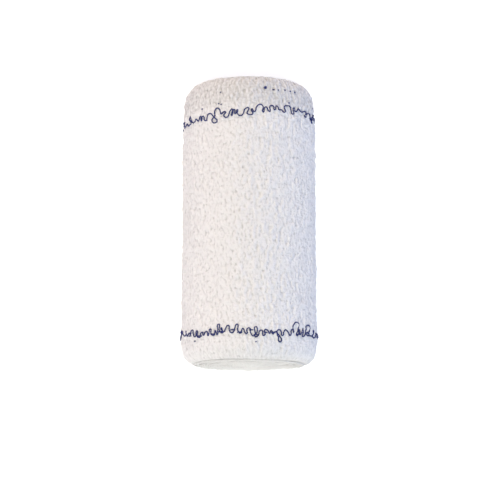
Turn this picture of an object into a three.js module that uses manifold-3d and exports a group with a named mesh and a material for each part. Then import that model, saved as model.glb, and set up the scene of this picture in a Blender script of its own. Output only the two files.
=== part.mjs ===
// A crepe bandage, wound into a roll and lying on its side.
// Millimetres, +Z up. The roll's axis runs along Y, and its near end is at -Y.
// The origin is the middle of the underside of the part's bounding box.

import * as THREE from "three";
import { mergeVertices } from "three/addons/utils/BufferGeometryUtils.js";
import Module from "manifold-3d";

const wasm = await Module();
wasm.setup();

// Driving sizes
const CLOTH_WIDTH = 100; // selvedge to selvedge, which is the roll's length
const ROLL_RADIUS = 24.0; // to the outside of the free end, at the middle of the roll
const TURN_GAIN = 0.95; // the radius that one turn of the crinkled cloth adds
const FREE_END_ANGLE = THREE.MathUtils.degToRad(-42); // from +X, seen from the near end
const FLAT_SINK = 0.6; // how far the soft roll settles where it lies

// Mesh fineness
const SIDES = 84; // flats round one turn
const ROWS_BETWEEN_SECTIONS = 2;
const CUTTER_SIZE = 3 * CLOTH_WIDTH;

// How wide the roll is along its length: the ends round over where the selvedges pull in,
// and the near end swells a little under its marker yarn.
// fromNearEnd is in millimetres, and share is the part of the full radius.
const SECTIONS = [
  { fromNearEnd: 0.0, share: 0.8 },
  { fromNearEnd: 0.6, share: 0.87 },
  { fromNearEnd: 1.6, share: 0.928 },
  { fromNearEnd: 3.2, share: 0.98 },
  { fromNearEnd: 5.5, share: 1.0 },
  { fromNearEnd: 8.5, share: 1.01 },
  { fromNearEnd: 11.5, share: 1.01 },
  { fromNearEnd: 16.0, share: 0.998 },
  { fromNearEnd: 32.0, share: 0.996 },
  { fromNearEnd: 50.0, share: 0.995 },
  { fromNearEnd: 68.0, share: 0.994 },
  { fromNearEnd: 84.0, share: 0.99 },
  { fromNearEnd: 89.0, share: 0.98 },
  { fromNearEnd: 93.0, share: 0.972 },
  { fromNearEnd: 95.5, share: 0.955 },
  { fromNearEnd: 97.5, share: 0.92 },
  { fromNearEnd: 99.0, share: 0.868 },
  { fromNearEnd: 100.0, share: 0.79 },
];

// The outline of the winding, seen from the near end: the last turn of a spiral.
// It closes with the small step of the cloth's free end.
function windingOutline() {
  const points = [];
  for (let i = 0; i <= SIDES; i++) {
    const wound = i / SIDES;
    const angle = FREE_END_ANGLE + wound * 2 * Math.PI;
    const radius = ROLL_RADIUS - TURN_GAIN * wound;
    points.push(new THREE.Vector2(radius * Math.cos(angle), radius * Math.sin(angle)));
  }
  return new THREE.Shape(points);
}

// The roll's length position and radius share at each row, eased through the sections.
function lengthRows() {
  const through = SECTIONS.map((s) => new THREE.Vector3(s.fromNearEnd, s.share, 0));
  const profile = new THREE.CatmullRomCurve3(through, false, "centripetal");
  return profile.getPoints((SECTIONS.length - 1) * ROWS_BETWEEN_SECTIONS);
}

// The outline run along the roll, row by row, and narrowed at each end.
function woundForm() {
  const rows = lengthRows();
  const steps = rows.length - 1;
  const form = new THREE.ExtrudeGeometry(windingOutline(), {
    depth: steps,
    steps,
    bevelEnabled: false,
  });
  const position = form.getAttribute("position");
  for (let i = 0; i < position.count; i++) {
    // The extrusion runs towards -Y once it is turned upright, so its rows count from the far end.
    const row = rows[steps - Math.round(position.getZ(i))];
    const alongFromFarEnd = CLOTH_WIDTH - row.x;
    position.setXYZ(i, position.getX(i) * row.y, position.getY(i) * row.y, alongFromFarEnd);
  }
  form.rotateX(Math.PI / 2);
  form.translate(0, CLOTH_WIDTH / 2, 0);
  return form;
}

// A closed geometry as a solid that can be cut.
function solidOf(geometry) {
  const bare = geometry.clone();
  bare.deleteAttribute("normal");
  bare.deleteAttribute("uv");
  const merged = mergeVertices(bare);
  return new wasm.Manifold(
    new wasm.Mesh({
      numProp: 3,
      vertProperties: merged.getAttribute("position").array,
      triVerts: new Uint32Array(merged.index.array),
    }),
  );
}

function geometryOf(solid) {
  const mesh = solid.getMesh();
  const geometry = new THREE.BufferGeometry();
  geometry.setAttribute("position", new THREE.BufferAttribute(mesh.vertProperties, 3));
  geometry.setIndex(new THREE.BufferAttribute(mesh.triVerts, 1));
  geometry.computeVertexNormals();
  return geometry;
}

// The winding with its underside cut flat where it rests, set down on Z = 0.
function restingRoll() {
  const form = woundForm();
  form.computeBoundingBox();
  const floor = form.boundingBox.min.z + FLAT_SINK;
  const below = new THREE.BoxGeometry(CUTTER_SIZE, CUTTER_SIZE, CUTTER_SIZE);
  below.translate(0, 0, floor - CUTTER_SIZE / 2);
  const roll = geometryOf(solidOf(form).subtract(solidOf(below)));
  roll.computeBoundingBox();
  const middleX = (roll.boundingBox.min.x + roll.boundingBox.max.x) / 2;
  roll.translate(-middleX, 0, -roll.boundingBox.min.z);
  return roll;
}

const crepeCotton = new THREE.MeshStandardMaterial({
  color: 0xe9e5e0,
  roughness: 0.95,
  metalness: 0,
});

const bandage = new THREE.Group();
const roll = new THREE.Mesh(restingRoll(), crepeCotton);
roll.name = "bandage_roll";
bandage.add(roll);

export default bandage;
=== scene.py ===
"""A crepe bandage wound into a roll: its cloth, its yarns, and the stage that it is seen on."""

import math
import random

import bmesh
import bpy
from bpy.props import FloatProperty, FloatVectorProperty, PointerProperty
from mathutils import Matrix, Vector


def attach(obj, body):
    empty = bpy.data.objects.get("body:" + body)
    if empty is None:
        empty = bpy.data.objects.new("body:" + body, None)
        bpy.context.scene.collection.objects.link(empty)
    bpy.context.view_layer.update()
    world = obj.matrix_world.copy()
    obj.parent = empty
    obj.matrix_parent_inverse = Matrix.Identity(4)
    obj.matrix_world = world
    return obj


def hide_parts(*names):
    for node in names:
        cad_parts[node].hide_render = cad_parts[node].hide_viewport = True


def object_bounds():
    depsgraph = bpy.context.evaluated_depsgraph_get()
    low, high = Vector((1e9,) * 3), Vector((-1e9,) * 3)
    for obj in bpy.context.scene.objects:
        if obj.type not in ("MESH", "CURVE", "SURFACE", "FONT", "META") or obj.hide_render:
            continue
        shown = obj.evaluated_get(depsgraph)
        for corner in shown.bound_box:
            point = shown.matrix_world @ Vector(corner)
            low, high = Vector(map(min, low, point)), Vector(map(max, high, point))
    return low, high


bl_info = {
    "name": "Crepe Bandage Roll",
    "version": (1, 0, 0),
    "blender": (4, 5, 0),
    "location": "3D View > Sidebar > Bandage",
    "description": "Winds a crinkled cotton bandage with a looped marker yarn along each selvedge",
    "category": "Object",
}

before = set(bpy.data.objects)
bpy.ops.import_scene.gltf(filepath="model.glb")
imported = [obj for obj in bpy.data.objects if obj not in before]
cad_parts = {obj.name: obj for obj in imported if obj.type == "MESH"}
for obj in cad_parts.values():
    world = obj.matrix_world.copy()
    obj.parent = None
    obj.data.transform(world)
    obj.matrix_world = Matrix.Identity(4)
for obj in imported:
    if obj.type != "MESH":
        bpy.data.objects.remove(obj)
CAD_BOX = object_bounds()

# The roll, in metres, as its solid is made
MM = 0.001
ROLL_NODE = "bandage_roll"
BODY = "root"
CLOTH_WIDTH = CAD_BOX[1].y - CAD_BOX[0].y
ROLL_RADIUS = 24.0 * MM  # to the outside of the free end, at the middle of the roll
TURN_GAIN = 0.95 * MM  # the radius that one turn of the cloth adds
FREE_END_ANGLE = math.radians(-42)  # from +X, seen from the near end
ROLL_AXIS = Vector((-0.24 * MM, 0.0, 22.81 * MM))

# The winding: the last turn is a piece of its own, because it needs a finer mesh
LAST_TURN_END = 1.035  # it runs on for a little way under its own free end
CORE_TURN = 24.3
NEAR, FAR = -1.0, 1.0  # the near selvedge is at -Y
SELVEDGES = (CAD_BOX[0].y + 0.3 * MM, CAD_BOX[1].y - 0.5 * MM)  # of the last turn
INNER_INSET = 0.22 * MM  # how far the selvedges inside lie behind it, before the core stands out again
SELVEDGE_ROUNDING = 0.5  # of half the cloth's thickness, because the turns press each other flat
COLUMN_CROWDING = 1.5  # the power of the radius by which columns lie closer in the small turns
RAY_OFFSETS = (-0.00447, -0.00149, 0.00149, 0.00447)  # of a turn, to even out the solid's flats
FREE_RAY = 0.1  # metres, longer than any ray inside the roll
EDGE_SHARE = 0.0001  # of the width or length, within which a point counts as on the edge

# Patterns on the unrolled cloth: pitch round the roll and along it, and where each one starts
PATTERNS = {
    "selvedge wander": (17 * MM, 31 * MM, 3.7),
    "loose winding": (8.5 * MM, 8.5 * MM, 11.3),
    "crimp": (2.4 * MM, 4.5 * MM, 21.9),
    "pleats": (1.3 * MM, 12 * MM, 5.1),
    "sway": (3.4 * MM, 3.8 * MM, 17.3),
    "strands": (1.1 * MM, 2.4 * MM, 8.3),
    "folds": (3.6 * MM, 10 * MM, 14.2),
}
KNOT_PITCH = (1.0 * MM, 1.2 * MM)  # of the knots that stand out of the face
SWAY = 1.7 * MM  # how far the knots and strands stray from their rows
WEAVE_PITCH = (0.85 * MM, 1.0 * MM)  # coarser than the real threads, so that the weave shows

# The small yarns along the edges
EDGE_YARN_WIDTH = 0.3 * MM
LOOP_SIZE = (0.42 * MM, 0.5 * MM)  # half its width along the selvedge, and its reach
LOOP_ROOT = 0.12 * MM  # how deep its feet lie in the cloth
LOOP_STEPS = 5
FRAY_PATH = ((-0.4, -0.05), (0.3, 0.05), (1.0, -0.1), (1.7, -0.35))  # mm out of the cut, and across it
LOOP_SPREAD = {"Pitch": 0.85 * MM, "Lean": 0.55, "Least Size": 0.6, "Most Size": 1.25}
FRAY_SPREAD = {"Pitch": 0.8 * MM, "Lean": 0.4, "Least Size": 0.5, "Most Size": 1.3}

# The stage, in metres
FLOOR_SIZE = 8.0
FLOOR_DROP = 0.02 * MM  # keeps the floor clear of the roll's flat strip
CAMERA_AIM = Vector((0.33 * MM, -8.84 * MM, 23 * MM))
LIGHT_SIZE = 0.6  # the side of each soft light
LIGHTS = {
    "key light": ("key_power", (-0.9, -0.1, 0.3), "#faedff"),
    "top light": ("top_power", (0.0, -0.5, 0.85), "#fcfffe"),
    "far light": ("far_power", (0.0, 0.8, 0.5), "#ffefeb"),
    "cool fill": ("fill_power", (0.9, 0.0, 0.3), "#3a93ff"),
}

# Kinds of node, and a setting that several share
MATH = "ShaderNodeMath"
VECTOR_MATH = "ShaderNodeVectorMath"
COMBINE = "ShaderNodeCombineXYZ"
SEPARATE = "ShaderNodeSeparateXYZ"
MAP_RANGE = "ShaderNodeMapRange"
NOISE = "ShaderNodeTexNoise"
VORONOI = "ShaderNodeTexVoronoi"
OBJECT_INFO = "GeometryNodeObjectInfo"
SMOOTH = {"interpolation_type": "SMOOTHSTEP"}


def linear(hex_colour):
    """An sRGB hex colour as linear red, green, blue and alpha."""
    channels = [int(hex_colour[i : i + 2], 16) / 255 for i in (1, 3, 5)]
    return [c / 12.92 if c <= 0.04045 else ((c + 0.055) / 1.055) ** 2.4 for c in channels] + [1.0]


def add_node(tree, kind, inputs=(), **settings):
    """Adds a node with its settings. Inputs are sockets, nodes or values, in order or by name."""
    node = tree.nodes.new(kind)
    for name, value in settings.items():
        setattr(node, name, value)
    shown = [socket for socket in node.inputs if socket.enabled]
    pairs = inputs.items() if isinstance(inputs, dict) else enumerate(inputs)
    for key, value in pairs:
        socket = node.inputs[key] if isinstance(key, str) else shown[key]
        if isinstance(value, bpy.types.Node):
            value = next(s for s in value.outputs if s.enabled)
        if isinstance(value, bpy.types.NodeSocket):
            tree.links.new(value, socket)
        elif value is not None:
            socket.default_value = value
    return node


def new_tree(name, sockets):
    """An empty geometry tree with these named inputs, and its group input's sockets by name."""
    tree = bpy.data.node_groups.new(name, "GeometryNodeTree")
    tree.interface.new_socket("Geometry", in_out="OUTPUT", socket_type="NodeSocketGeometry")
    for label, kind in sockets.items():
        tree.interface.new_socket(label, in_out="INPUT", socket_type="NodeSocket" + kind)
    return tree, tree.nodes.new("NodeGroupInput").outputs


def end_tree(tree, geometry, material):
    """Ends a tree with real meshes that lie on the surface, smooth faces and its material."""
    real = add_node(tree, "GeometryNodeRealizeInstances", [geometry])
    place = add_node(tree, SEPARATE, [add_node(tree, "GeometryNodeInputPosition")])
    above = add_node(tree, MATH, [place.outputs["Z"], 0.0], operation="MAXIMUM")
    resting = add_node(tree, COMBINE, [place.outputs["X"], place.outputs["Y"], above])
    pressed = add_node(tree, "GeometryNodeSetPosition", {"Geometry": real, "Position": resting})
    smooth = add_node(tree, "GeometryNodeSetShadeSmooth", [pressed])
    finished = add_node(tree, "GeometryNodeSetMaterial", {"Geometry": smooth, "Material": material})
    add_node(tree, "NodeGroupOutput", [finished])


def grown(name, tree, values):
    """The plain mesh object that a tree makes from these input values."""
    carrier = bpy.data.objects.new(name + "_rule", bpy.data.meshes.new(name + "_rule"))
    bpy.context.scene.collection.objects.link(carrier)
    rule = carrier.modifiers.new("rule", "NODES")
    rule.node_group = tree
    for item in tree.interface.items_tree:
        if item.in_out == "INPUT":
            rule[item.identifier] = values[item.name]
    depsgraph = bpy.context.evaluated_depsgraph_get()
    mesh = bpy.data.meshes.new_from_object(
        carrier.evaluated_get(depsgraph), preserve_all_data_layers=True, depsgraph=depsgraph
    )
    mesh.name = name
    piece = bpy.data.objects.new(name, mesh)
    bpy.context.scene.collection.objects.link(piece)
    bpy.data.objects.remove(carrier)
    return piece


# Cloth

CLOTH_SOCKETS = {
    "Solid": "Object",
    "Axis": "Vector",
    "Cloth Width": "Float",
    "Cloth Middle": "Float",
    "Roll Radius": "Float",
    "Turn Gain": "Float",
    "Free End Angle": "Float",
    "First Turn": "Float",
    "Last Turn": "Float",
    "Columns": "Int",
    "Face Rows": "Int",
    "Back Rows": "Int",
    "Row Crowding": "Float",
    "Thickness": "Float",
    "Pebble Height": "Float",
    "Strand Height": "Float",
    "Fold Height": "Float",
    "Pleat Height": "Float",
    "Crimp Height": "Float",
    "Drift": "Float",
    "Core Rise": "Float",
    "Selvedge Wander": "Float",
    "Material": "Material",
}


def spiral_radius(tree, given, turn):
    """The plain spiral's radius after this many turns."""
    gained = add_node(tree, MATH, [turn, given["Turn Gain"]], operation="MULTIPLY")
    return add_node(tree, MATH, [given["Roll Radius"], gained], operation="SUBTRACT")


def spiral_way(tree, given, turn):
    """The cosine and sine of the spiral's angle after this many turns."""
    angle = add_node(tree, MATH, [turn, 2 * math.pi, given["Free End Angle"]], operation="MULTIPLY_ADD")
    return [add_node(tree, MATH, [angle], operation=part) for part in ("COSINE", "SINE")]


def strip_place(tree, given):
    """Where each grid point lies on the strip: its turn, its share across, and face or back."""
    place = add_node(tree, SEPARATE, [add_node(tree, "GeometryNodeInputPosition")])
    wound_share = add_node(tree, MATH, [place.outputs["X"], 0.5], operation="ADD")
    loop_share = add_node(tree, MATH, [place.outputs["Y"], 0.5], operation="ADD")
    rows = add_node(tree, MATH, [given["Face Rows"], given["Back Rows"]], operation="ADD")
    face_share = add_node(tree, MATH, [given["Face Rows"], rows], operation="DIVIDE")
    back_share = add_node(tree, MATH, [given["Back Rows"], rows], operation="DIVIDE")
    up_face = add_node(tree, MATH, [loop_share, face_share], operation="DIVIDE")
    loop_left = add_node(tree, MATH, [1.0, loop_share], operation="SUBTRACT")
    down_back = add_node(tree, MATH, [loop_left, back_share], operation="DIVIDE")
    even = add_node(tree, MATH, [up_face, down_back], operation="MINIMUM", use_clamp=True)
    on_face = add_node(tree, MATH, [up_face, 1 + EDGE_SHARE], operation="LESS_THAN")
    # Rows crowd towards both selvedges where the crowding is above 1
    from_near = add_node(tree, MATH, [even, given["Row Crowding"]], operation="POWER")
    from_far = add_node(tree, MATH, [1.0, even], operation="SUBTRACT")
    from_far = add_node(tree, MATH, [from_far, given["Row Crowding"]], operation="POWER")
    both = add_node(tree, MATH, [from_near, from_far], operation="ADD")
    across = add_node(tree, MATH, [from_near, both], operation="DIVIDE")
    # Columns lie closer in the small turns near the core
    first_radius = spiral_radius(tree, given, given["First Turn"])
    last_radius = spiral_radius(tree, given, given["Last Turn"])
    narrowing = add_node(tree, MATH, [last_radius, first_radius], operation="DIVIDE")
    narrowing = add_node(tree, MATH, [narrowing, COLUMN_CROWDING], operation="POWER")
    narrowing = add_node(tree, MATH, [1.0, narrowing], operation="SUBTRACT")
    left = add_node(tree, MATH, [wound_share, narrowing], operation="MULTIPLY")
    left = add_node(tree, MATH, [1.0, left], operation="SUBTRACT")
    left = add_node(tree, MATH, [left, 1 / COLUMN_CROWDING], operation="POWER")
    lost = add_node(tree, MATH, [1.0, left], operation="SUBTRACT")
    lost = add_node(tree, MATH, [lost, first_radius], operation="MULTIPLY")
    turns_in = add_node(tree, MATH, [lost, given["Turn Gain"]], operation="DIVIDE")
    wound = add_node(tree, MATH, [turns_in, given["First Turn"]], operation="ADD")
    return wound_share, wound, across, on_face


def length_along(tree, given, wound):
    """How far along the cloth a turn lies from the free end, in metres."""
    mean_radius = add_node(tree, MATH, [wound, given["Turn Gain"]], operation="MULTIPLY")
    mean_radius = add_node(tree, MATH, [mean_radius, -0.5, given["Roll Radius"]], operation="MULTIPLY_ADD")
    unrolled = add_node(tree, MATH, [wound, 2 * math.pi], operation="MULTIPLY")
    return add_node(tree, MATH, [unrolled, mean_radius], operation="MULTIPLY")


def outline_share(tree, given, wound, along_axis):
    """How wide the solid is here, as a share of the plain spiral, from rays out of the roll's axis."""
    solid = add_node(tree, OBJECT_INFO, [given["Solid"]], transform_space="ORIGINAL")
    axis = add_node(tree, SEPARATE, [given["Axis"]])
    reach = CLOTH_WIDTH / 2 - 0.1 * MM
    inside = add_node(tree, "ShaderNodeClamp", [along_axis, -reach, reach])
    source = add_node(tree, COMBINE, [axis.outputs["X"], inside, axis.outputs["Z"]])
    total = None
    for offset in RAY_OFFSETS:
        turn = add_node(tree, MATH, [wound, offset], operation="ADD")
        cosine, sine = spiral_way(tree, given, turn)
        ray = add_node(
            tree,
            "GeometryNodeRaycast",
            {
                "Target Geometry": solid.outputs["Geometry"],
                "Source Position": source,
                "Ray Direction": add_node(tree, COMBINE, [cosine, 0.0, sine]),
                "Ray Length": FREE_RAY,
            },
        )
        of_turn = add_node(tree, MATH, [turn], operation="FRACT")
        plain = spiral_radius(tree, given, of_turn)
        share = add_node(tree, MATH, [ray.outputs["Hit Distance"], plain], operation="DIVIDE")
        total = share if total is None else add_node(tree, MATH, [total, share], operation="ADD")
    return add_node(tree, MATH, [total, len(RAY_OFFSETS)], operation="DIVIDE")


def patterned(tree, place, pattern, height, detail=1.0):
    """A relief of this height, in one of the patterns on the unrolled cloth."""
    round_pitch, axis_pitch, start = PATTERNS[pattern]
    per_metre = (1 / round_pitch, 1 / axis_pitch, 1.0)
    spread = add_node(tree, VECTOR_MATH, [place, per_metre, (start, start, 0.0)], operation="MULTIPLY_ADD")
    settings = {"Vector": spread, "Scale": 1.0, "Detail": detail, "Roughness": 0.55}
    noise = add_node(tree, NOISE, settings, noise_dimensions="2D")
    centred = add_node(tree, MATH, [noise, 0.5], operation="SUBTRACT")
    return add_node(tree, MATH, [centred, height], operation="MULTIPLY")


def wound_cloth_tree():
    """The tree that winds a strip of crepe, face and back, inside the solid's outline."""
    tree, given = new_tree("wound crepe", CLOTH_SOCKETS)
    wound_share, wound, across, on_face = strip_place(tree, given)
    unrolled = length_along(tree, given, wound)
    from_near = add_node(tree, MATH, [across, given["Cloth Width"]], operation="MULTIPLY")
    cloth_place = add_node(tree, COMBINE, [unrolled, from_near, 0.0])

    # The plain spiral's radius, and how far this turn is into the roll
    plain_radius = spiral_radius(tree, given, wound)
    radius_share = add_node(tree, MATH, [plain_radius, given["Roll Radius"]], operation="DIVIDE")
    depth = add_node(tree, MAP_RANGE, [wound, 1.0, 3.5, 0.0, 1.0], **SMOOTH)

    # Along the axis: the selvedges wander, and the turns stand prouder towards the core
    wander = patterned(tree, cloth_place, "selvedge wander", given["Selvedge Wander"], 3.0)
    centred = add_node(tree, MATH, [across, 0.5], operation="SUBTRACT")
    share_squared = add_node(tree, MATH, [radius_share, radius_share], operation="MULTIPLY")
    risen = add_node(tree, MATH, [1.0, share_squared], operation="SUBTRACT")
    risen = add_node(tree, MATH, [risen, risen], operation="MULTIPLY")
    risen = add_node(tree, MATH, [risen, given["Core Rise"]], operation="MULTIPLY")
    spread = add_node(tree, MATH, [risen, 2.0, given["Cloth Width"]], operation="MULTIPLY_ADD")
    wander = add_node(tree, MATH, [wander, given["Cloth Middle"]], operation="ADD")
    along_axis = add_node(tree, MATH, [centred, spread, wander], operation="MULTIPLY_ADD")

    # Out from the axis: the solid's outline, less half the cloth, with its loose winding
    share = outline_share(tree, given, wound, along_axis)
    skin = add_node(tree, MATH, [plain_radius, share], operation="MULTIPLY")
    half = add_node(tree, MATH, [given["Thickness"], 0.5], operation="MULTIPLY")
    middle = add_node(tree, MATH, [skin, half], operation="SUBTRACT")
    cosine, sine = spiral_way(tree, given, wound)
    skin_x = add_node(tree, MATH, [cosine, skin], operation="MULTIPLY")
    skin_z = add_node(tree, MATH, [sine, skin], operation="MULTIPLY")
    section = add_node(tree, COMBINE, [skin_x, skin_z, 0.0])
    drift = patterned(tree, section, "loose winding", given["Drift"])
    drift = add_node(tree, MATH, [drift, depth], operation="MULTIPLY")

    # Ripples of the whole cloth: the crimp, and pleats that deepen towards the selvedges
    from_middle = add_node(tree, MATH, [centred], operation="ABSOLUTE")
    to_selvedge = add_node(tree, MATH, [0.5, from_middle], operation="SUBTRACT")
    to_selvedge = add_node(tree, MATH, [to_selvedge, given["Cloth Width"]], operation="MULTIPLY")
    pull = add_node(tree, MAP_RANGE, [to_selvedge, 0.0, 13 * MM, 1.0, 0.0], **SMOOTH)
    crimp = patterned(tree, cloth_place, "crimp", given["Crimp Height"])
    pleat = patterned(tree, cloth_place, "pleats", given["Pleat Height"])
    pleat = add_node(tree, MATH, [pleat, pull], operation="MULTIPLY")
    ripple = add_node(tree, MATH, [crimp, pleat], operation="ADD")

    # Relief of the face alone: knots and short strands of slack weft, both swaying, and gentle folds
    sway = add_node(tree, COMBINE, [patterned(tree, cloth_place, "sway", SWAY), 0.0, 0.0])
    swayed = add_node(tree, VECTOR_MATH, [cloth_place, sway], operation="ADD")
    per_metre = (1 / KNOT_PITCH[0], 1 / KNOT_PITCH[1], 1.0)
    spread = add_node(tree, VECTOR_MATH, [swayed, per_metre], operation="MULTIPLY")
    knots = add_node(
        tree,
        VORONOI,
        {"Vector": spread, "Scale": 1.0, "Smoothness": 0.4, "Randomness": 0.8},
        voronoi_dimensions="2D",
        feature="SMOOTH_F1",
    )
    knots = add_node(tree, MATH, [0.38, knots], operation="SUBTRACT")
    knots = add_node(tree, MATH, [knots, given["Pebble Height"]], operation="MULTIPLY")
    strands = patterned(tree, swayed, "strands", given["Strand Height"])
    folds = patterned(tree, cloth_place, "folds", given["Fold Height"], 2.0)
    fine = add_node(tree, MATH, [knots, strands], operation="ADD")
    # The near selvedge is pulled smooth over the end of the roll
    calm = add_node(tree, MAP_RANGE, [from_near, 1.0 * MM, 7.0 * MM, 0.4, 1.0], **SMOOTH)
    fine = add_node(tree, MATH, [fine, calm], operation="MULTIPLY")
    relief = add_node(tree, MATH, [fine, folds], operation="ADD")

    # Rounded selvedges: the lift from the middle of the cloth to its face or back
    edge = add_node(tree, MATH, [half, SELVEDGE_ROUNDING], operation="MULTIPLY")
    edge = add_node(tree, MATH, [to_selvedge, edge], operation="DIVIDE", use_clamp=True)
    inward = add_node(tree, MATH, [1.0, edge], operation="SUBTRACT")
    inward = add_node(tree, MATH, [inward, inward], operation="MULTIPLY")
    roundness = add_node(tree, MATH, [1.0, inward], operation="SUBTRACT")
    roundness = add_node(tree, MATH, [roundness], operation="SQRT")
    side = add_node(tree, MATH, [on_face, 2.0, -1.0], operation="MULTIPLY_ADD")
    lift = add_node(tree, MATH, [side, half], operation="MULTIPLY")
    lift = add_node(tree, MATH, [relief, on_face, lift], operation="MULTIPLY_ADD")
    lift = add_node(tree, MATH, [lift, roundness, ripple], operation="MULTIPLY_ADD")

    radius = add_node(tree, MATH, [middle, drift], operation="ADD")
    radius = add_node(tree, MATH, [radius, lift], operation="ADD")
    axis = add_node(tree, SEPARATE, [given["Axis"]])
    x = add_node(tree, MATH, [radius, cosine, axis.outputs["X"]], operation="MULTIPLY_ADD")
    z = add_node(tree, MATH, [radius, sine, axis.outputs["Z"]], operation="MULTIPLY_ADD")
    position = add_node(tree, COMBINE, [x, along_axis, z])

    # What the yarns and the material need to know
    rows = add_node(tree, MATH, [given["Face Rows"], given["Back Rows"]], operation="ADD")
    rows = add_node(tree, MATH, [rows, 1.0], operation="ADD")
    # How far the fine relief lies below its blurred level, stored so that the material paints shade in the
    # hollows
    level = add_node(tree, "GeometryNodeBlurAttribute", [fine, 4, 1.0], data_type="FLOAT")
    hollow = add_node(tree, MATH, [level, fine], operation="SUBTRACT")
    hollow = add_node(tree, MATH, [hollow, given["Thickness"]], operation="DIVIDE")
    at_far = add_node(tree, MATH, [across, 1 - EDGE_SHARE], operation="GREATER_THAN")
    at_near = add_node(tree, MATH, [across, EDGE_SHARE], operation="LESS_THAN")
    selvedge = add_node(tree, MATH, [at_far, at_near], operation="SUBTRACT")
    at_cut = add_node(tree, MATH, [wound_share, EDGE_SHARE], operation="LESS_THAN")
    at_cut = add_node(tree, MATH, [at_cut, on_face], operation="MULTIPLY")
    marks = (
        ("UVMap", cloth_place, "FLOAT2", "CORNER"),
        ("hollow", hollow, "FLOAT", "POINT"),
        ("selvedge", selvedge, "FLOAT", "POINT"),
        ("cut_end", at_cut, "FLOAT", "POINT"),
    )
    marked = add_node(tree, "GeometryNodeMeshGrid", [1.0, 1.0, given["Columns"], rows]).outputs["Mesh"]
    for name, value, data_type, domain in marks:
        marked = add_node(
            tree,
            "GeometryNodeStoreNamedAttribute",
            {"Geometry": marked, "Name": name, "Value": value},
            data_type=data_type,
            domain=domain,
        )
    shaped = add_node(tree, "GeometryNodeSetPosition", {"Geometry": marked, "Position": position})
    closed = add_node(tree, "GeometryNodeMergeByDistance", {"Geometry": shaped, "Distance": 1e-7})
    end_tree(tree, closed, given["Material"])
    return tree


def close_cut_ends(piece):
    """Closes the strip where it was cut, and turns every face outwards."""
    shape = bmesh.new()
    shape.from_mesh(piece.data)
    open_edges = [edge for edge in shape.edges if edge.is_boundary]
    caps = bmesh.ops.holes_fill(shape, edges=open_edges, sides=0)["faces"]
    bmesh.ops.triangulate(shape, faces=caps, ngon_method="EAR_CLIP")
    bmesh.ops.recalc_face_normals(shape, faces=shape.faces)
    shape.to_mesh(piece.data)
    shape.free()


def wind_cloth(name, tree, material, cloth, first, last, inset, columns, face_rows, back_rows, **relief):
    """One wound stretch of the strip, as a closed mesh."""
    values = {
        "Solid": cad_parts[ROLL_NODE],
        "Axis": ROLL_AXIS,
        "Cloth Width": SELVEDGES[1] - SELVEDGES[0] - 2 * inset,
        "Cloth Middle": (SELVEDGES[0] + SELVEDGES[1]) / 2,
        "Roll Radius": ROLL_RADIUS,
        "Turn Gain": TURN_GAIN,
        "Free End Angle": FREE_END_ANGLE,
        "First Turn": first,
        "Last Turn": last,
        "Columns": columns,
        "Face Rows": face_rows,
        "Back Rows": back_rows,
        "Thickness": cloth.thickness,
        "Material": material,
        **relief,
    }
    piece = grown(name, tree, values)
    close_cut_ends(piece)
    return piece


# Yarns

YARN_SOCKETS = {
    "Route": "Object",
    "Cloth": "Object",
    "Axis": "Vector",
    "Roll Radius": "Float",
    "Ring Place": "Float",
    "Ring Tilt": "Float",
    "Spacing": "Float",
    "Yarn Width": "Float",
    "Dip": "Float",
    "Sink": "Float",
    "Seed": "Float",
    "Material": "Material",
}
PLY_PITCH = 1.3 * MM  # one twist of the two plies
PLY_WAIST = 0.68  # the yarn's narrow way across, as a share of its width
ROUTE_STEP = 0.14 * MM  # between the points of a marker yarn
YARN_DIP = 0.45 * MM  # how far the weft ties it down
ABOVE_CLOTH = 4 * MM  # where the rays down to the cloth start
UNDERSIDE = math.radians(-90)  # where each marker yarn starts and ends, counter-clockwise from +X

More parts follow.
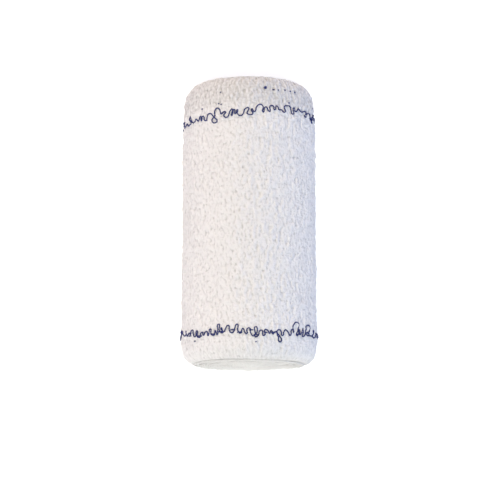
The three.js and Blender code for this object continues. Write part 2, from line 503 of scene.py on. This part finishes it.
# The upper side of each marker yarn, from the left side of the roll to the right:
# its turns in millimetres to the right of the roll's axis, and along +Y from the ring's own line.
# A stray is a short end that pokes out of the cloth: its place in the same way, and its length.
MARKER_RINGS = {
    "marker_yarn_far": {
        "line": {"Ring Place": 37.0 * MM, "Ring Tilt": 1.44 * MM, "Sink": 0.0, "Seed": 2.0},
        "side": 24.0,
        "turns": (
            (-23.4, 0.6), (-23.2, -1.6), (-22.8, -0.3), (-21.9, -1.5), (-21.0, -1.2), (-21.5, 1.3),
            (-19.8, -1.4), (-18.9, -0.4), (-18.0, -1.3), (-17.4, 0.2), (-17.0, -1.5), (-16.3, -0.1),
            (-15.7, -1.7), (-15.0, -1.8), (-14.5, -0.1), (-13.5, 0.2), (-12.9, -0.6), (-11.9, -1.8),
            (-11.2, -2.8), (-12.0, -3.5), (-12.9, -2.4),
            (-12.1, -0.8), (-12.0, 1.1), (-11.2, 1.7), (-10.3, 0.9), (-9.8, -0.6), (-8.9, 0.0), (-8.1, -0.2),
            (-8.7, -1.4), (-7.6, -2.2), (-6.6, -0.3), (-5.8, 0.6), (-6.0, -1.7), (-5.0, 0.3), (-4.6, -1.3),
            (-3.9, 0.1), (-3.8, -1.4), (-2.7, -2.1), (-1.9, -1.6), (-1.1, 0.2), (0.1, 0.5), (-0.4, -1.5),
            (0.6, -2.0), (1.5, -1.8), (1.2, 0.1), (2.1, -1.0), (3.0, 0.8), (4.3, 1.6), (5.3, 0.8),
            (5.2, -1.2), (6.1, 0.6), (7.6, -1.0), (7.7, 0.9), (8.9, 0.9), (9.3, -0.4), (10.2, 1.1),
            (10.7, -0.3), (11.9, -0.2), (12.8, -1.1), (12.9, 1.0), (14.0, 1.4), (14.9, 1.0), (16.0, -1.4),
            (16.1, 0.9), (16.9, -0.3), (18.0, 1.0), (19.1, -0.1), (20.3, 0.3), (20.4, -1.5), (21.2, 0.0),
            (22.2, -0.4), (22.0, -1.9), (22.9, -0.7), (22.5, -2.6),
        ),
        "strays": (
            (6.2, 7.6, 1.1), (6.3, 7.9, 0.7), (6.3, 7.3, 0.7), (9.3, 6.9, 0.7), (10.9, 6.8, 0.4),
            (13.4, 7.0, 0.6), (15.6, 6.9, 0.5), (17.3, 6.7, 0.7), (-10.1, 7.2, 0.4), (-10.8, 3.2, 0.4),
            (-9.8, 2.8, 0.4), (-16.8, 2.6, 0.5), (14.6, 2.4, 0.4), (23.6, 3.4, 1.0),
        ),
    },
    "marker_yarn_near": {
        "line": {"Ring Place": -40.2 * MM, "Ring Tilt": 0.3 * MM, "Sink": 0.02, "Seed": 5.0},
        "side": 24.4,
        "turns": (
            (-23.7, 1.7), (-24.2, 1.3), (-24.3, -0.5), (-24.0, 0.6), (-23.3, 1.6), (-22.9, 0.3), (-22.4, 0.0),
            (-22.1, 1.4), (-21.7, -0.4), (-20.9, 0.5), (-20.3, 0.0), (-19.9, 1.4), (-19.4, -0.4),
            (-18.6, -1.0), (-18.2, 0.9), (-17.9, -1.1), (-16.9, -1.4), (-16.3, 0.2), (-15.6, -0.9),
            (-15.0, 0.2), (-14.4, 0.2), (-14.1, -1.2), (-13.3, 1.0), (-12.9, -0.9), (-11.9, -1.2),
            (-11.6, 0.3), (-10.9, -1.1), (-10.4, 2.4),
            (-10.0, 0.2), (-9.0, -0.6), (-9.4, 1.1), (-8.6, -0.4), (-8.0, 0.6), (-7.0, 1.8), (-6.5, 0.0),
            (-5.7, -0.8), (-5.1, -0.3), (-4.7, 0.9), (-3.9, 2.1), (-3.6, -0.1), (-2.7, -1.0), (-1.9, 0.6),
            (-1.2, -0.8), (-0.5, -1.2), (-0.5, 0.3), (0.4, 0.7), (0.8, -0.9), (2.0, -2.0), (2.5, 1.1),
            (3.1, -0.3), (2.4, -2.2), (3.5, -1.8), (3.9, -0.3), (4.8, -0.1), (5.1, -1.9), (5.8, -1.4),
            (5.6, 0.0), (6.7, 0.0), (7.3, -1.1), (8.0, -0.1), (8.5, -1.3), (9.3, -0.5), (10.2, -2.2),
            (11.0, -3.9), (11.6, -3.2), (10.6, -1.7), (9.9, -0.2), (11.1, 0.1), (11.7, -1.7), (12.8, 0.3),
            (13.7, -0.5), (14.5, -1.5), (15.2, 0.6), (15.7, -0.4), (15.5, 1.5), (16.6, 3.2), (17.6, 2.7),
            (17.4, 1.2), (16.9, -1.4), (17.8, 0.7), (18.0, -0.8), (19.2, 1.1), (19.0, -1.4), (20.1, 0.7),
            (20.5, 2.4), (21.5, 2.2), (21.2, 0.7), (20.3, -0.5), (21.3, -0.8), (22.3, -0.6), (22.8, 1.3),
            (22.6, -1.0),
        ),
        "strays": (
            (-18.9, -2.7, 0.5), (2.6, -4.1, 0.4), (-20.5, -0.6, 1.4), (-17.2, -1.1, 2.4), (-12.4, -0.9, 1.8),
            (-9.4, -0.3, 2.2), (-5.6, 0.2, 1.2), (-3.0, -0.7, 1.8), (1.0, 0.0, 1.4), (2.6, -1.6, 1.6),
            (6.0, -0.9, 1.2), (8.6, -0.8, 1.4), (17.6, -1.0, 2.0), (21.0, -0.3, 1.2),
        ),
    },
}


def hidden_turns(chance, start, end):
    """The turns of a marker yarn where it is plain, between two angles: angle and place along the roll."""
    turns = []
    side = 1
    angle = start + chance.uniform(1.2, 2.4) * MM / ROLL_RADIUS
    while angle < end - 1.0 * MM / ROLL_RADIUS:
        turns.append((angle, side * chance.uniform(0.3, 1.1) * MM))
        side = -side
        angle += chance.uniform(1.0, 2.2) * MM / ROLL_RADIUS
    return turns


def yarn_route(name, ring):
    """A marker yarn's route and strays, laid out flat: X runs round the roll and Y is along it."""
    chance = random.Random(int(ring["line"]["Seed"]))
    shown = [(math.acos(across / ring["side"]), along * MM) for across, along in ring["turns"]]
    shown.reverse()
    first_half = hidden_turns(chance, UNDERSIDE, shown[0][0])
    last_half = hidden_turns(chance, shown[-1][0], UNDERSIDE + 2 * math.pi)
    splines = [[(angle * ROLL_RADIUS, along) for angle, along in first_half + shown + last_half]]
    for across, along, length in ring["strays"]:
        run = math.acos(across / ring["side"]) * ROLL_RADIUS
        half = length * MM / 2
        splines.append([(run - half, along * MM), (run, (along + 0.1) * MM), (run + half, along * MM)])
    curve = bpy.data.curves.new(name, "CURVE")
    curve.dimensions = "3D"
    for places in splines:
        spline = curve.splines.new("BEZIER")
        spline.bezier_points.add(len(places) - 1)
        for point, place in zip(spline.bezier_points, places):
            point.co = (*place, 0.0)
            point.handle_left_type = "AUTO"
            point.handle_right_type = "AUTO"
    route = bpy.data.objects.new(name, curve)
    bpy.context.scene.collection.objects.link(route)
    return route


def run_noise(tree, run, pitch, seed, offset):
    """A number that wanders between about -0.5 and 0.5 along a yarn, over this pitch in metres."""
    place = add_node(tree, MATH, [run, 1 / pitch, seed], operation="MULTIPLY_ADD")
    place = add_node(tree, MATH, [place, offset], operation="ADD")
    noise = add_node(tree, NOISE, {"W": place, "Scale": 1.0, "Detail": 1.0}, noise_dimensions="1D")
    return add_node(tree, MATH, [noise, 0.5], operation="SUBTRACT")


def marker_yarn_tree():
    """The tree that lays a two-ply yarn along its flat route, over and into the face of the cloth."""
    tree, given = new_tree("marker yarn", YARN_SOCKETS)
    route = add_node(tree, OBJECT_INFO, [given["Route"]], transform_space="ORIGINAL")
    spacing = {"Curve": route.outputs["Geometry"], "Length": given["Spacing"]}
    line = add_node(tree, "GeometryNodeResampleCurve", spacing, mode="LENGTH")
    flat = add_node(tree, SEPARATE, [add_node(tree, "GeometryNodeInputPosition")])
    run = add_node(tree, "GeometryNodeSplineParameter").outputs["Length"]

    # Down onto the cloth, with a dip here and there where the weft ties the yarn in
    angle = add_node(tree, MATH, [flat.outputs["X"], given["Roll Radius"]], operation="DIVIDE")
    round_x = add_node(tree, MATH, [angle], operation="COSINE")
    round_z = add_node(tree, MATH, [angle], operation="SINE")
    out = add_node(tree, COMBINE, [round_x, 0.0, round_z])
    tilted = [round_x, given["Ring Tilt"], given["Ring Place"]]
    middle = add_node(tree, MATH, tilted, operation="MULTIPLY_ADD")
    place = add_node(tree, MATH, [middle, flat.outputs["Y"]], operation="ADD")
    along = add_node(tree, COMBINE, [0.0, place, 0.0])
    foot = add_node(tree, VECTOR_MATH, [given["Axis"], along], operation="ADD")
    clear = add_node(tree, MATH, [given["Roll Radius"], ABOVE_CLOTH], operation="ADD")
    source = add_node(tree, VECTOR_MATH, {"Vector": out, "Scale": clear}, operation="SCALE")
    source = add_node(tree, VECTOR_MATH, [source, foot], operation="ADD")
    inwards = add_node(tree, VECTOR_MATH, {"Vector": out, "Scale": -1.0}, operation="SCALE")
    cloth = add_node(tree, OBJECT_INFO, [given["Cloth"]], transform_space="ORIGINAL")
    ray = add_node(
        tree,
        "GeometryNodeRaycast",
        {
            "Target Geometry": cloth.outputs["Geometry"],
            "Source Position": source,
            "Ray Direction": inwards,
            "Ray Length": FREE_RAY,
        },
    )
    fall = ray.outputs["Hit Distance"]
    fallen = add_node(tree, "GeometryNodeBlurAttribute", [fall, 3, 1.0], data_type="FLOAT")
    skin = add_node(tree, MATH, [clear, fallen], operation="SUBTRACT")
    over = add_node(tree, MATH, [given["Yarn Width"], 0.3], operation="MULTIPLY")
    dip = run_noise(tree, run, 1.7 * MM, given["Seed"], 109.0)
    over = add_node(tree, MATH, [dip, given["Dip"], over], operation="MULTIPLY_ADD")
    # Turns sink into the cloth, the more so the further they reach into the body of it
    sunk = add_node(tree, MATH, [flat.outputs["Y"], given["Sink"]], operation="MULTIPLY")
    over = add_node(tree, MATH, [over, sunk], operation="SUBTRACT")
    radius = add_node(tree, MATH, [skin, over], operation="ADD")
    position = add_node(tree, VECTOR_MATH, {"Vector": out, "Scale": radius}, operation="SCALE")
    position = add_node(tree, VECTOR_MATH, [position, foot], operation="ADD")
    laid = add_node(tree, "GeometryNodeSetPosition", {"Geometry": line, "Position": position})

    # Two plies: a waisted section that turns as it goes
    turned = add_node(tree, MATH, [run, 2 * math.pi / PLY_PITCH], operation="MULTIPLY")
    twisted = add_node(tree, "GeometryNodeSetCurveTilt", {"Curve": laid, "Tilt": turned})
    section = add_node(tree, "GeometryNodeCurvePrimitiveCircle", {"Resolution": 8, "Radius": 0.5})
    around = add_node(tree, "GeometryNodeInputPosition")
    waisted = add_node(tree, VECTOR_MATH, [around, (1.0, PLY_WAIST, 1.0)], operation="MULTIPLY")
    section = add_node(tree, "GeometryNodeSetPosition", {"Geometry": section, "Position": waisted})
    width = add_node(tree, COMBINE, [given["Yarn Width"]] * 3)
    section = add_node(tree, "GeometryNodeTransform", {"Geometry": section, "Scale": width})
    sweep = {"Curve": twisted, "Profile Curve": section, "Fill Caps": True}
    yarn = add_node(tree, "GeometryNodeCurveToMesh", sweep)
    end_tree(tree, yarn, given["Material"])
    return tree


EDGE_SOCKETS = {
    "Outer Cloth": "Object",
    "Inner Cloth": "Object",
    "Template": "Object",
    "Mark": "String",
    "Mark Value": "Float",
    "Outwards": "Vector",
    "Pitch": "Float",
    "Lean": "Float",
    "Least Size": "Float",
    "Most Size": "Float",
    "Seed": "Int",
    "Material": "Material",
}


def edge_yarn_tree():
    """The tree that sets a small yarn at every pitch along a marked edge of the cloth."""
    tree, given = new_tree("edge yarns", EDGE_SOCKETS)
    cloths = add_node(tree, "GeometryNodeJoinGeometry")
    for label in ("Inner Cloth", "Outer Cloth"):
        cloth = add_node(tree, OBJECT_INFO, [given[label]], transform_space="ORIGINAL")
        tree.links.new(cloth.outputs["Geometry"], cloths.inputs[0])
    mark = add_node(tree, "GeometryNodeInputNamedAttribute", [given["Mark"]], data_type="FLOAT")
    off = add_node(tree, MATH, [mark.outputs["Attribute"], given["Mark Value"]], operation="SUBTRACT")
    off = add_node(tree, MATH, [off], operation="ABSOLUTE")
    at_edge = add_node(tree, MATH, [off, 0.01], operation="LESS_THAN")
    edge = add_node(tree, "GeometryNodeMeshToCurve", {"Mesh": cloths, "Selection": at_edge})
    spacing = {"Curve": edge, "Length": given["Pitch"]}
    spaced = add_node(tree, "GeometryNodeResampleCurve", spacing, mode="LENGTH")
    tangent = add_node(tree, "GeometryNodeInputTangent")
    upright = add_node(
        tree,
        "FunctionNodeAxesToRotation",
        {"Primary Axis": given["Outwards"], "Secondary Axis": tangent},
        primary_axis="Y",
        secondary_axis="X",
    )
    other_way = add_node(tree, MATH, [given["Lean"], -1.0], operation="MULTIPLY")
    next_seed = add_node(tree, MATH, [given["Seed"], 1.0], operation="ADD")
    ranges = (
        (other_way, given["Lean"], given["Seed"]),
        (given["Least Size"], given["Most Size"], next_seed),
    )
    lean, size = (
        add_node(
            tree,
            "FunctionNodeRandomValue",
            {
                "Min": add_node(tree, COMBINE, [least] * 3),
                "Max": add_node(tree, COMBINE, [most] * 3),
                "Seed": seed,
            },
            data_type="FLOAT_VECTOR",
        )
        for least, most, seed in ranges
    )
    leaning = add_node(tree, "FunctionNodeEulerToRotation", [lean])
    turned = add_node(tree, "FunctionNodeRotateRotation", [upright, leaning], rotation_space="LOCAL")
    source = {"Object": given["Template"], "As Instance": True}
    template = add_node(tree, OBJECT_INFO, source, transform_space="ORIGINAL").outputs["Geometry"]
    setting = {"Points": spaced, "Instance": template, "Rotation": turned, "Scale": size}
    yarns = add_node(tree, "GeometryNodeInstanceOnPoints", setting)
    end_tree(tree, yarns, given["Material"])
    return tree


# Materials

BLEACHED_COTTON = {
    "Roughness": 0.92,
    "Sheen_Weight": 0.2,
    "Sheen_Roughness": 0.5,
    "Specular_IOR_Level": 0.25,
}
# Painted shade beyond the far marker yarn and along the near selvedge, greying the cloth towards both ends of
# the roll:
# from where to where, up from the near selvedge, and how much shade before and after
PAINTED_END_SHADE = (
    (86 * MM, 91 * MM, 0.0, 0.35),
    (0.3 * MM, 6.5 * MM, 0.18, 0.0),
    (0.3 * MM, 1.2 * MM, 0.1, 0.0),
)


def new_material(name, **surface):
    """A material with its shader's own values set, and its tree and shader."""
    material = bpy.data.materials.new(name)
    material.use_nodes = True
    tree = material.node_tree
    shader = tree.nodes["Principled BSDF"]
    for socket, value in surface.items():
        shader.inputs[socket.replace("_", " ")].default_value = value
    return material, tree, shader


def blend_colours(tree, shader, share, first, second):
    """Gives the shader a colour that goes from the first to the second with this share."""
    colour = add_node(tree, "ShaderNodeMix", [share, first, second], data_type="RGBA", clamp_factor=True)
    tree.links.new(next(s for s in colour.outputs if s.enabled), shader.inputs["Base Color"])


def crinkled_crepe(cloth):
    """Bleached cotton crepe: a loose plain weave, matt and a little fuzzy, with painted shade in its small
    openings, in the hollows of its relief and towards both ends of the roll.
    """
    material, tree, shader = new_material("crinkled cotton crepe", **BLEACHED_COTTON)
    place = add_node(tree, "ShaderNodeUVMap", uv_map="UVMap")
    per_metre = (1 / WEAVE_PITCH[0], 1 / WEAVE_PITCH[1], 1.0)
    threads = add_node(tree, "ShaderNodeMapping", {"Vector": place, "Scale": per_metre})
    knots = add_node(
        tree,
        VORONOI,
        {"Vector": threads, "Scale": 1.0, "Randomness": 0.8, "Smoothness": 0.3},
        voronoi_dimensions="2D",
        feature="SMOOTH_F1",
    )
    fuzz = {"Vector": threads, "Scale": 2.4, "Detail": 3.0, "Roughness": 0.6}
    fibres = add_node(tree, NOISE, fuzz, noise_dimensions="2D")
    height = add_node(tree, MATH, [knots, -0.8, fibres], operation="MULTIPLY_ADD")
    bump = add_node(tree, "ShaderNodeBump", {"Height": height, "Strength": 1.0, "Distance": 0.45 * MM})
    tree.links.new(bump.outputs["Normal"], shader.inputs["Normal"])

    # Painted shade in the hollows of the relief, from the depth that the cloth's tree stores
    hollow = add_node(tree, "ShaderNodeAttribute", attribute_name="hollow")
    # Painted shade in the openings between the threads, away from the knots
    painted_gap_and_end_shade = add_node(tree, MAP_RANGE, [knots, 0.5, 0.9, 0.0, 0.45], **SMOOTH)
    across = add_node(tree, SEPARATE, [place]).outputs["Y"]
    # Painted shade that greys the cloth towards both ends of the roll
    for start, end, before, after in PAINTED_END_SHADE:
        slack = add_node(tree, MAP_RANGE, [across, start, end, before, after], **SMOOTH)
        painted_gap_and_end_shade = add_node(tree, MATH, [painted_gap_and_end_shade, slack], operation="ADD")
    # All the painted shade together greys the cloth's colour towards #b9b4ad
    shade = add_node(tree, MATH, [hollow.outputs["Fac"], 1.3, painted_gap_and_end_shade], operation="MULTIPLY_ADD", use_clamp=True)
    blend_colours(tree, shader, shade, (*cloth.colour, 1.0), linear("#b9b4ad"))
    return material


def two_ply_yarn(yarn):
    """Dyed cotton marker yarn: navy, matt and hairy, a little paler where its plies catch the light."""
    material, tree, shader = new_material("dyed two-ply yarn", Roughness=0.85, Specular_IOR_Level=0.2)
    place = add_node(tree, "ShaderNodeTexCoord").outputs["Object"]
    fibres = add_node(tree, NOISE, {"Vector": place, "Scale": 1 / (0.35 * MM), "Detail": 2.0})
    paler = add_node(tree, MAP_RANGE, [fibres, 0.35, 0.7, 0.0, 1.0], **SMOOTH)
    blend_colours(tree, shader, paler, (*yarn.colour, 1.0), linear("#4b5082"))
    return material


def bleached_yarn():
    """Bleached cotton yarn: off-white, matt, with soft fibres along it."""
    material, tree, shader = new_material("bleached cotton yarn", **BLEACHED_COTTON)
    place = add_node(tree, "ShaderNodeTexCoord").outputs["Object"]
    fibres = add_node(tree, NOISE, {"Vector": place, "Scale": 1 / (0.5 * MM), "Detail": 3.0})
    blend_colours(tree, shader, fibres, linear("#dad7d1"), linear("#eeebe6"))
    return material


# Stage


def look_from(camera, azimuth, elevation, distance, aim):
    """Stands the camera at an angle round the aim. Azimuth 0 looks along +Y."""
    back = Vector(
        (
            math.sin(azimuth) * math.cos(elevation),
            -math.cos(azimuth) * math.cos(elevation),
            math.sin(elevation),
        )
    )
    camera.location = aim + back * distance
    camera.rotation_mode = "QUATERNION"
    camera.rotation_quaternion = (-back).to_track_quat("-Z", "Y")


def soft_light(name, place, power, colour):
    """A square light that faces the middle of the roll."""
    light = bpy.data.lights.new(name, "AREA")
    light.size = LIGHT_SIZE
    light.energy = power
    light.color = linear(colour)[:3]
    lamp = bpy.data.objects.new(name, light)
    lamp.location = place
    lamp.rotation_mode = "QUATERNION"
    lamp.rotation_quaternion = (ROLL_AXIS - Vector(place)).to_track_quat("-Z", "Y")
    bpy.context.scene.collection.objects.link(lamp)


def studio_floor(colour, glow):
    """A white sweep, lit a little from within, so that no shadow greys it round the roll."""
    bpy.ops.mesh.primitive_plane_add(size=FLOOR_SIZE, location=(0.0, 0.0, -FLOOR_DROP))
    floor = bpy.context.object
    floor.name = "floor"
    material, _, shader = new_material("white studio floor", Roughness=0.9, Specular_IOR_Level=0.1)
    shader.inputs["Base Color"].default_value = linear(colour)
    shader.inputs["Emission Color"].default_value = linear("#f4faef")
    shader.inputs["Emission Strength"].default_value = glow
    floor.data.materials.append(material)


def length_property(name, description, default):
    """A length in metres that a user can change."""
    return FloatProperty(name=name, description=description, default=default, subtype="DISTANCE")


def colour_property(name, description, hex_colour):
    """A colour that a user can change."""
    return FloatVectorProperty(
        name=name,
        description=description,
        default=linear(hex_colour)[:3],
        subtype="COLOR",
        min=0.0,
        max=1.0,
    )


class BandageCloth(bpy.types.PropertyGroup):
    """Sizes and colour of the crepe"""

    thickness: length_property("Thickness", "Thickness of the crinkled cloth", 0.86 * MM)
    pebble: length_property("Pebble Height", "Relief of the weave's knots", 0.5 * MM)
    strand: length_property("Strand Height", "Relief of the slack weft, in short strands", 1.35 * MM)
    fold: length_property("Fold Height", "Relief of the gentle folds along the roll", 0.9 * MM)
    pleat: length_property("Pleat Height", "Relief of the pleats at the selvedges", 0.7 * MM)
    crimp: length_property("Crimp Height", "Ripple of the whole cloth", 0.28 * MM)
    core_rise: length_property("Core Rise", "How far the core stands out of each end", 0.6 * MM)
    selvedge_wander: length_property("Selvedge Wander", "How far the selvedges stray", 1.1 * MM)
    colour: colour_property("Colour", "Colour of the bleached cotton", "#f1ede8")


class BandageYarn(bpy.types.PropertyGroup):
    """The marker yarn"""

    width: length_property("Yarn Width", "Thickness of the marker yarn", 0.54 * MM)
    colour: colour_property("Yarn Colour", "Colour of the dyed marker yarn", "#2c3258")


class BandageStage(bpy.types.PropertyGroup):
    """Camera and light"""

    elevation: FloatProperty(
        name="Camera Elevation",
        description="Angle of the camera above the floor",
        default=math.radians(81),
        subtype="ANGLE",
    )
    distance: FloatProperty(
        name="Camera Distance", description="From the aim to the camera", default=0.6605, subtype="DISTANCE"
    )
    lens: FloatProperty(name="Lens", description="Focal length in millimetres", default=133.7)
    key_power: FloatProperty(name="Key Light", description="Low light on the left, in watts", default=3.1)
    top_power: FloatProperty(name="Top Light", description="Light from above, in watts", default=7.5)
    far_power: FloatProperty(name="Far Light", description="Light on the far end, in watts", default=5.2)
    fill_power: FloatProperty(name="Cool Fill", description="Blue light on the right, in watts", default=3.0)
    daylight: FloatProperty(name="Daylight", description="Strength of the light all round", default=0.26)
    floor_glow: FloatProperty(name="Floor Glow", description="Light given off by the floor", default=0.34)


class BANDAGE_OT_stage(bpy.types.Operator):
    """Sets up the floor, the soft light and the camera"""

    bl_idname = "bandage.stage"
    bl_label = "Stage"

    def execute(self, context):
        stage = context.scene.bandage_stage
        studio_floor("#f7f7f7", stage.floor_glow)
        for name, (power, place, colour) in LIGHTS.items():
            soft_light(name, place, getattr(stage, power), colour)
        world = bpy.data.worlds.new("soft daylight")
        world.use_nodes = True
        world.node_tree.nodes["Background"].inputs["Color"].default_value = linear("#ffffff")
        world.node_tree.nodes["Background"].inputs["Strength"].default_value = stage.daylight
        context.scene.world = world
        lens = bpy.data.cameras.new("camera")
        lens.lens = stage.lens
        lens.clip_start = 0.01
        camera = bpy.data.objects.new("camera", lens)
        context.scene.collection.objects.link(camera)
        look_from(camera, 0.0, stage.elevation, stage.distance, CAMERA_AIM)
        context.scene.camera = camera
        context.scene.view_settings.view_transform = "Standard"
        return {"FINISHED"}


class BANDAGE_OT_cloth(bpy.types.Operator):
    """Winds the crepe: the last turn with its crinkled face, and the turns inside it"""

    bl_idname = "bandage.cloth"
    bl_label = "Cloth"

    def execute(self, context):
        cloth = context.scene.bandage_cloth
        tree = wound_cloth_tree()
        crepe = crinkled_crepe(cloth)
        outer = wind_cloth(
            "outer_turn",
            tree,
            crepe,
            cloth,
            first=0.0,
            last=LAST_TURN_END,
            inset=0.0,
            columns=420,
            face_rows=220,
            back_rows=14,
            **{
                "Row Crowding": 1.1,
                "Pebble Height": cloth.pebble,
                "Strand Height": cloth.strand,
                "Fold Height": cloth.fold,
                "Pleat Height": cloth.pleat,
                "Crimp Height": cloth.crimp,
                "Drift": 0.0,
                "Core Rise": cloth.core_rise,
                "Selvedge Wander": 0.5 * cloth.selvedge_wander,
            },
        )
        inner = wind_cloth(
            "wound_turns",
            tree,
            crepe,
            cloth,
            first=LAST_TURN_END - 0.02,
            last=CORE_TURN,
            inset=INNER_INSET,
            columns=3500,
            face_rows=12,
            back_rows=12,
            **{
                "Row Crowding": 2.4,
                "Pebble Height": 0.0,
                "Strand Height": 0.0,
                "Fold Height": 0.0,
                "Pleat Height": 0.3 * cloth.pleat,
                "Crimp Height": 0.5 * cloth.crimp,
                "Drift": 0.45 * MM,
                "Core Rise": cloth.core_rise,
                "Selvedge Wander": 0.8 * cloth.selvedge_wander,
            },
        )
        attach(outer, BODY)
        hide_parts(ROLL_NODE)
        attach(inner, BODY)
        return {"FINISHED"}


def yarn_template(name, points):
    """A short four-sided yarn through these points, as a mesh to be set along an edge."""
    curve = bpy.data.curves.new(name, "CURVE")
    curve.dimensions = "3D"
    curve.bevel_depth = EDGE_YARN_WIDTH / 2
    curve.bevel_resolution = 0
    spline = curve.splines.new("POLY")
    spline.points.add(len(points) - 1)
    for point, place in zip(spline.points, points):
        point.co = (*place, 1.0)
    carrier = bpy.data.objects.new(name, curve)
    bpy.context.scene.collection.objects.link(carrier)
    depsgraph = bpy.context.evaluated_depsgraph_get()
    mesh = bpy.data.meshes.new_from_object(carrier.evaluated_get(depsgraph), depsgraph=depsgraph)
    bpy.data.objects.remove(carrier)
    template = bpy.data.objects.new(name, mesh)
    bpy.context.scene.collection.objects.link(template)
    return template


class BANDAGE_OT_marker_yarns(bpy.types.Operator):
    """Loops a marker yarn round the roll near each selvedge"""

    bl_idname = "bandage.marker_yarns"
    bl_label = "Marker Yarns"

    def execute(self, context):
        yarn = context.scene.bandage_yarn
        tree = marker_yarn_tree()
        material = two_ply_yarn(yarn)
        for name, ring in MARKER_RINGS.items():
            route = yarn_route(name + "_route", ring)
            values = {
                "Route": route,
                "Cloth": bpy.data.objects["outer_turn"],
                "Axis": ROLL_AXIS,
                "Roll Radius": ROLL_RADIUS,
                "Spacing": ROUTE_STEP,
                "Yarn Width": yarn.width,
                "Dip": YARN_DIP,
                "Material": material,
                **ring["line"],
            }
            piece = grown(name, tree, values)
            bpy.data.objects.remove(route)
            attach(piece, BODY)
        return {"FINISHED"}


class BANDAGE_OT_selvedges(bpy.types.Operator):
    """Sets the weft's turning loops along the selvedges, and frays the cut end"""

    bl_idname = "bandage.selvedges"
    bl_label = "Selvedges and Free End"

    def execute(self, context):
        tree = edge_yarn_tree()
        material = bleached_yarn()
        half_width, reach = LOOP_SIZE
        bend = [math.pi * step / LOOP_STEPS for step in range(LOOP_STEPS + 1)]
        arch = [(half_width * math.cos(a), reach * math.sin(a) - LOOP_ROOT, 0.0) for a in bend]
        loop = yarn_template("loop", arch)
        end = yarn_template("end", [(0.0, out * MM, over * MM) for out, over in FRAY_PATH])
        cut_way = Vector((math.sin(FREE_END_ANGLE), 0.0, -math.cos(FREE_END_ANGLE)))
        rows = (
            ("selvedge_loops_near", loop, "selvedge", NEAR, Vector((0.0, -1.0, 0.0)), LOOP_SPREAD),
            ("selvedge_loops_far", loop, "selvedge", FAR, Vector((0.0, 1.0, 0.0)), LOOP_SPREAD),
            ("free_end_fray", end, "cut_end", 1.0, cut_way, FRAY_SPREAD),
        )
        for name, template, mark, value, outwards, spread in rows:
            values = {
                "Outer Cloth": bpy.data.objects["outer_turn"],
                "Inner Cloth": bpy.data.objects["wound_turns"],
                "Template": template,
                "Mark": mark,
                "Mark Value": value,
                "Outwards": outwards,
                "Seed": 7,
                "Material": material,
                **spread,
            }
            piece = grown(name, tree, values)
            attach(piece, BODY)
        for template in (loop, end):
            bpy.data.objects.remove(template)
        return {"FINISHED"}


class BANDAGE_PT_panel(bpy.types.Panel):
    """The steps that build the roll"""

    bl_idname = "BANDAGE_PT_panel"
    bl_label = "Crepe Bandage Roll"
    bl_space_type = "VIEW_3D"
    bl_region_type = "UI"
    bl_category = "Bandage"

    def draw(self, context):
        for step in STEPS:
            self.layout.operator(step.bl_idname)
        for group in SETTINGS:
            settings = getattr(context.scene, group)
            for name in settings.__annotations__:
                self.layout.prop(settings, name)


STEPS = (BANDAGE_OT_stage, BANDAGE_OT_cloth, BANDAGE_OT_marker_yarns, BANDAGE_OT_selvedges)
SETTINGS = {"bandage_cloth": BandageCloth, "bandage_yarn": BandageYarn, "bandage_stage": BandageStage}
CLASSES = (*SETTINGS.values(), *STEPS, BANDAGE_PT_panel)


def register():
    for each in CLASSES:
        bpy.utils.register_class(each)
    for group, settings in SETTINGS.items():
        setattr(bpy.types.Scene, group, PointerProperty(type=settings))


def unregister():
    for group in SETTINGS:
        delattr(bpy.types.Scene, group)
    for each in reversed(CLASSES):
        bpy.utils.unregister_class(each)


def main():
    register()
    bpy.ops.bandage.stage()
    bpy.ops.bandage.cloth()
    bpy.ops.bandage.marker_yarns()
    bpy.ops.bandage.selvedges()


if __name__ == "__main__":
    main()
